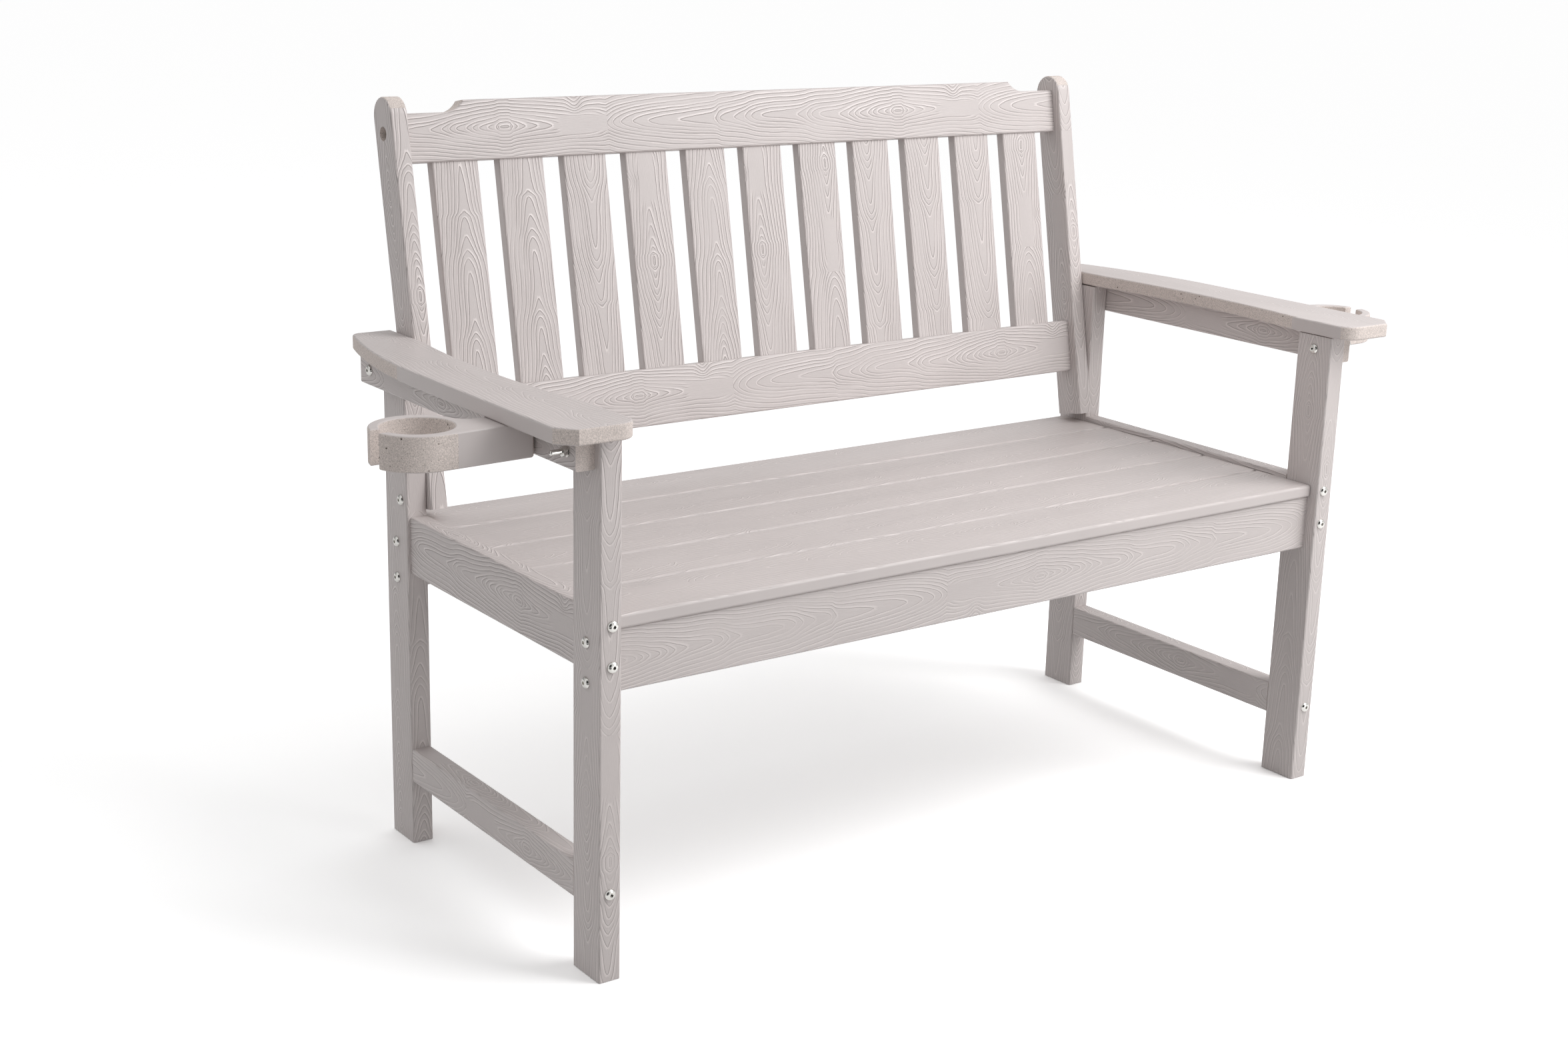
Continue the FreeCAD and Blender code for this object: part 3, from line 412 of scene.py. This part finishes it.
def steel(name, colour, roughness, streak):
    """Bare metal with fine tool marks that spread its highlights a little. The marks come from a
    noise of under a millimetre, the finest that still shows close up."""
    made = bpy.data.materials.new(name)
    made.use_nodes = True
    tree = made.node_tree
    tree.nodes.clear()
    coordinates = add(tree, "TexCoord")
    marks = add(tree, "TexNoise", {"Vector": coordinates.outputs["Object"], "Scale": 1400.0, "Detail": 2.0})
    rough = add(tree, "MapRange", [marks, 0.3, 0.7, roughness * 0.8, roughness * 1.3])
    bump = add(tree, "Bump", {"Height": marks, "Strength": streak, "Distance": 0.02 * MM})
    shader = add(tree, "BsdfPrincipled", {"Base Color": linear(colour), "Metallic": 1.0,
                                          "Roughness": rough, "Normal": bump})
    add(tree, "OutputMaterial", [shader])
    return made


stainless = steel("polished_stainless_steel", "#D8D6D2", 0.08, 0.2)
for node in ("apron_bolts", "rail_end_bolts", "upright_bolts", "arm_rear_bolts", "arm_front_bolts",
             "arm_nuts", "arm_washers", "back_rail_bolts", "swivel_bolts", "swivel_washers"):
    dress(node, stainless)


# Threaded inserts, screws and angles are of plain steel and sit out of sight. They are zinc plated,
# which leaves them dull and bluish.

zinc = steel("zinc_plated_steel", "#B4B8BC", 0.32, 0.6)
for node in ("apron_inserts", "rail_end_inserts", "upright_inserts", "back_rail_inserts",
             "swivel_inserts", "seat_screws", "bearer_screws", "arm_screws", "bearer_brackets",
             "bracket_screws"):
    dress(node, zinc)


# The bench stands on a plain floor, painted matt white, that runs back without a horizon. It is seen
# white, lights the bench as softly as a grey one would, and at the left front carries painted shade that
# only reflections see.

FLOOR_REACH = 30.0
FLOOR_DROP = -0.0005                     # just below the feet
FLOOR_GREY = (0.55, 0.55, 0.55, 1.0)
FLOOR_WHITE = (1.3, 1.3, 1.3, 1.0)       # over 1, so that it is still white in the bench's soft shade
MIRRORED_SHADE_PATCH = (-1.7, -2.1, 0.0)
floor_mesh = bpy.data.meshes.new("floor")
floor_mesh.from_pydata([(-FLOOR_REACH, -FLOOR_REACH, FLOOR_DROP), (FLOOR_REACH, -FLOOR_REACH, FLOOR_DROP),
                        (FLOOR_REACH, FLOOR_REACH, FLOOR_DROP), (-FLOOR_REACH, FLOOR_REACH, FLOOR_DROP)],
                       [], [(0, 1, 2, 3)])
floor = bpy.data.objects.new("floor", floor_mesh)
bpy.context.scene.collection.objects.link(floor)
paint = bpy.data.materials.new("matt_floor_paint")
paint.use_nodes = True
tree = paint.node_tree
tree.nodes.clear()
ray = add(tree, "LightPath")
place = add(tree, "TexCoord").outputs["Object"]
# Painted shade: a dark patch at the left front, seen by reflection rays only, in place of the room's unlit
# side.
away = add(tree, "VectorMath", [place, MIRRORED_SHADE_PATCH], operation="DISTANCE").outputs["Value"]
mirrored = add(tree, "MapRange", [away, 1.1, 1.7, 0.06, 1.0], interpolation_type="SMOOTHSTEP")
tone = add(tree, "MixRGB", [ray.outputs["Is Glossy Ray"], FLOOR_GREY, mirrored])
tone = add(tree, "MixRGB", [ray.outputs["Is Camera Ray"], tone, FLOOR_WHITE])
add(tree, "OutputMaterial", [add(tree, "BsdfDiffuse", {"Color": tone})])
floor_mesh.materials.append(paint)


# The room is seen an even white. It lights the bench most from behind and above and least from the
# left and the front, and metal mirrors it a little greyer, with a dark corner at the left front.

ROOM = ((0, 0.22, 0.38), (1, 0.22, 1.05), (2, 0.0, 0.54))  # axis, light from its low and its high end
DARK_CORNER = (-0.55, -0.72, 0.3)
world = bpy.data.worlds.new("room")
world.use_nodes = True
tree = world.node_tree
tree.nodes.clear()
ray = add(tree, "LightPath")
outward = add(tree, "TexCoord").outputs["Generated"]
way = add(tree, "SeparateXYZ", [outward])
strength = 0.0
for axis, toward_low, toward_high in ROOM:
    low = add(tree, "MapRange", [way.outputs[axis], -1.0, 0.0, toward_low, 0.0])
    high = add(tree, "MapRange", [way.outputs[axis], 0.0, 1.0, 0.0, toward_high])
    both = add(tree, "Math", [low, high], operation="ADD")
    strength = add(tree, "Math", [both, strength], operation="ADD")
toward = add(tree, "VectorMath", [outward, DARK_CORNER], operation="DOT_PRODUCT").outputs["Value"]
dark = add(tree, "MapRange", [toward, 0.70, 0.90, 0.90, 0.05], interpolation_type="SMOOTHSTEP")
dim = add(tree, "MapRange", [way.outputs[1], 0.1, 0.8, 1.0, 0.4])
mirrored = add(tree, "Math", [dark, dim], operation="MULTIPLY")
strength = add(tree, "Mix", {0: ray.outputs["Is Glossy Ray"], 2: strength, 3: mirrored}, data_type="FLOAT")
strength = add(tree, "Mix", {0: ray.outputs["Is Camera Ray"], 2: strength, 3: 1.0}, data_type="FLOAT")
add(tree, "OutputWorld", [add(tree, "Background", {"Color": (1, 1, 1, 1), "Strength": strength})])
bpy.context.scene.world = world


# A large soft box hangs at the right front, and a strip box stands low further out. Both are near
# enough for their light to fall off along the bench.

AIM = Vector((0, 0, 0.5))
for name, place, wide, high, watts in (("soft_box", (1.15, -1.37, 2.1), 1.6, 1.6, 43.0),
                                       ("strip_box", (1.65, -3.2, 0.85), 1.3, 0.9, 15.0)):
    lamp = bpy.data.lights.new(name, "AREA")
    lamp.shape = "RECTANGLE"
    lamp.size = wide
    lamp.size_y = high
    lamp.energy = watts
    box = bpy.data.objects.new(name, lamp)
    box.location = place
    box.rotation_euler = (box.location - AIM).to_track_quat("Z", "Y").to_euler()
    bpy.context.scene.collection.objects.link(box)


# The camera stands to the left of the bench and above it, and looks down 16 degrees. Its place and
# lens were fitted to the edges of the legs, aprons, rails and arms. Angles are in radians.

YAW, PITCH, ROLL = 0.6277, 0.2718, 0.0254
FOCAL_PIXELS, PHOTO_WIDTH = 3331.46, 2352
EYE = Vector((-1.6984, -2.15269, 1.1373))
camera = bpy.data.cameras.new("camera")
camera.sensor_width = 36.0
camera.lens = camera.sensor_width * FOCAL_PIXELS / PHOTO_WIDTH
view = bpy.data.objects.new("camera", camera)
forward = Vector((math.sin(YAW) * math.cos(PITCH), math.cos(YAW) * math.cos(PITCH), -math.sin(PITCH)))
right = Vector((math.cos(YAW), -math.sin(YAW), 0.0))
up = right.cross(forward)
side = right * math.cos(ROLL) + up * math.sin(ROLL)
above = up * math.cos(ROLL) - right * math.sin(ROLL)
view.matrix_world = Matrix((side, above, -forward)).transposed().to_4x4()
view.location = EYE
bpy.context.scene.collection.objects.link(view)
bpy.context.scene.camera = view
bpy.context.scene.view_settings.view_transform = "Standard"
